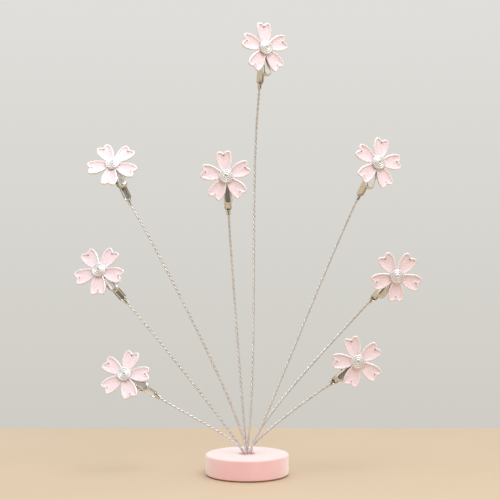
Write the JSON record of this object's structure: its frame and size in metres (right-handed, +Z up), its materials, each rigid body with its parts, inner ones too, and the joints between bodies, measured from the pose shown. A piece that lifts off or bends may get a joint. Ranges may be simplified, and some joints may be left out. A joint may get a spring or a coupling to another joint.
{
  "type": "table card holder",
  "caption": "Free-standing table card holder: twisted wire stems fan out of a round weighted base, each ending in a sprung clip with an enamelled blossom.",
  "frame": {"origin": "centre of the foot pad's underside", "axes": "+Z up, +X to the right as the blossoms face the viewer, +Y away from the viewer"},
  "size_m": [0.206, 0.05, 0.2701],
  "materials": {
    "pink_paint": "satin pale pink paint",
    "foot_foam": "matt soft foam",
    "potting_resin": "matt resin",
    "twisted_wire": "bright galvanised wire",
    "plated_sheet": "bright nickel plating",
    "plated_pin": "bright nickel plating",
    "spring_wire": "spring steel",
    "pink_enamel": "gloss pale pink enamel in a bright metal rim",
    "plated_cap": "bright nickel plating"
  },
  "bodies": {
    "stand": {"base": "pink_paint", "foot_pad": "foot_foam", "socket_plug": "potting_resin", "stem_left_low": "twisted_wire", "stem_left_mid": "twisted_wire", "stem_left_high": "twisted_wire", "stem_centre_low": "twisted_wire", "stem_centre_top": "twisted_wire", "stem_right_high": "twisted_wire", "stem_right_mid": "twisted_wire", "stem_right_low": "twisted_wire", "clip_jaw_left_low": "plated_sheet", "clip_jaw_left_mid": "plated_sheet", "clip_jaw_left_high": "plated_sheet", "clip_jaw_centre_low": "plated_sheet", "clip_jaw_centre_top": "plated_sheet", "clip_jaw_right_high": "plated_sheet", "clip_jaw_right_mid": "plated_sheet", "clip_jaw_right_low": "plated_sheet", "pivot_pin_left_low": "plated_pin", "pivot_pin_left_mid": "plated_pin", "pivot_pin_left_high": "plated_pin", "pivot_pin_centre_low": "plated_pin", "pivot_pin_centre_top": "plated_pin", "pivot_pin_right_high": "plated_pin", "pivot_pin_right_mid": "plated_pin", "pivot_pin_right_low": "plated_pin", "clip_spring_left_low": "spring_wire", "clip_spring_left_mid": "spring_wire", "clip_spring_left_high": "spring_wire", "clip_spring_centre_low": "spring_wire", "clip_spring_centre_top": "spring_wire", "clip_spring_right_high": "spring_wire", "clip_spring_right_mid": "spring_wire", "clip_spring_right_low": "spring_wire"},
    "clip_left_low": {"clip_lever_left_low": "plated_sheet", "flower_left_low": "pink_enamel", "flower_rivet_left_low": "plated_cap"},
    "clip_left_mid": {"clip_lever_left_mid": "plated_sheet", "flower_left_mid": "pink_enamel", "flower_rivet_left_mid": "plated_cap"},
    "clip_left_high": {"clip_lever_left_high": "plated_sheet", "flower_left_high": "pink_enamel", "flower_rivet_left_high": "plated_cap"},
    "clip_centre_low": {"clip_lever_centre_low": "plated_sheet", "flower_centre_low": "pink_enamel", "flower_rivet_centre_low": "plated_cap"},
    "clip_centre_top": {"clip_lever_centre_top": "plated_sheet", "flower_centre_top": "pink_enamel", "flower_rivet_centre_top": "plated_cap"},
    "clip_right_high": {"clip_lever_right_high": "plated_sheet", "flower_right_high": "pink_enamel", "flower_rivet_right_high": "plated_cap"},
    "clip_right_mid": {"clip_lever_right_mid": "plated_sheet", "flower_right_mid": "pink_enamel", "flower_rivet_right_mid": "plated_cap"},
    "clip_right_low": {"clip_lever_right_low": "plated_sheet", "flower_right_low": "pink_enamel", "flower_rivet_right_low": "plated_cap"}
  },
  "joints": [
    {"name": "clip_left_low_squeeze", "type": "hinge", "parent": "stand", "child": "clip_left_low", "pos_m": [-0.06534, -0.01302, 0.05661], "axis": [0.485, 0.301, 0.8211], "range_deg": [0, 45], "stiffness_Nm_per_rad": 0.02, "springref_deg": -40.11, "deforming": ["clip_spring_left_low"]},
    {"name": "clip_left_mid_squeeze", "type": "hinge", "parent": "stand", "child": "clip_left_mid", "pos_m": [-0.08177, -0.01335, 0.11651], "axis": [0.7497, 0.1091, 0.6528], "range_deg": [0, 45], "stiffness_Nm_per_rad": 0.02, "springref_deg": -40.11, "deforming": ["clip_spring_left_mid"]},
    {"name": "clip_left_high_squeeze", "type": "hinge", "parent": "stand", "child": "clip_left_high", "pos_m": [-0.07577, -0.01475, 0.17786], "axis": [0.8869, 0.2108, 0.4111], "range_deg": [0, 45], "stiffness_Nm_per_rad": 0.02, "springref_deg": -40.11, "deforming": ["clip_spring_left_high"]},
    {"name": "clip_centre_low_squeeze", "type": "hinge", "parent": "stand", "child": "clip_centre_low", "pos_m": [-0.01206, -0.01069, 0.17125], "axis": [0.9916, 0.0766, 0.1043], "range_deg": [0, 45], "stiffness_Nm_per_rad": 0.02, "springref_deg": -40.11, "deforming": ["clip_spring_centre_low"]},
    {"name": "clip_centre_top_squeeze", "type": "hinge", "parent": "stand", "child": "clip_centre_top", "pos_m": [0.00949, -0.01087, 0.24717], "axis": [0.8884, 0.4427, 0.1216], "range_deg": [0, 45], "stiffness_Nm_per_rad": 0.02, "springref_deg": -40.11, "deforming": ["clip_spring_centre_top"]},
    {"name": "clip_right_high_squeeze", "type": "hinge", "parent": "stand", "child": "clip_right_high", "pos_m": [0.07328, -0.01219, 0.17953], "axis": [0.8901, 0.2841, -0.3564], "range_deg": [0, 45], "stiffness_Nm_per_rad": 0.02, "springref_deg": -40.11, "deforming": ["clip_spring_right_high"]},
    {"name": "clip_right_mid_squeeze", "type": "hinge", "parent": "stand", "child": "clip_right_mid", "pos_m": [0.08326, -0.01032, 0.11444], "axis": [0.7792, 0.1251, -0.6142], "range_deg": [0, 45], "stiffness_Nm_per_rad": 0.02, "springref_deg": -40.11, "deforming": ["clip_spring_right_mid"]},
    {"name": "clip_right_low_squeeze", "type": "hinge", "parent": "stand", "child": "clip_right_low", "pos_m": [0.06001, -0.01038, 0.06417], "axis": [0.682, -0.0255, -0.7309], "range_deg": [0, 45], "stiffness_Nm_per_rad": 0.02, "springref_deg": -40.11, "deforming": ["clip_spring_right_low"]}
  ]
}
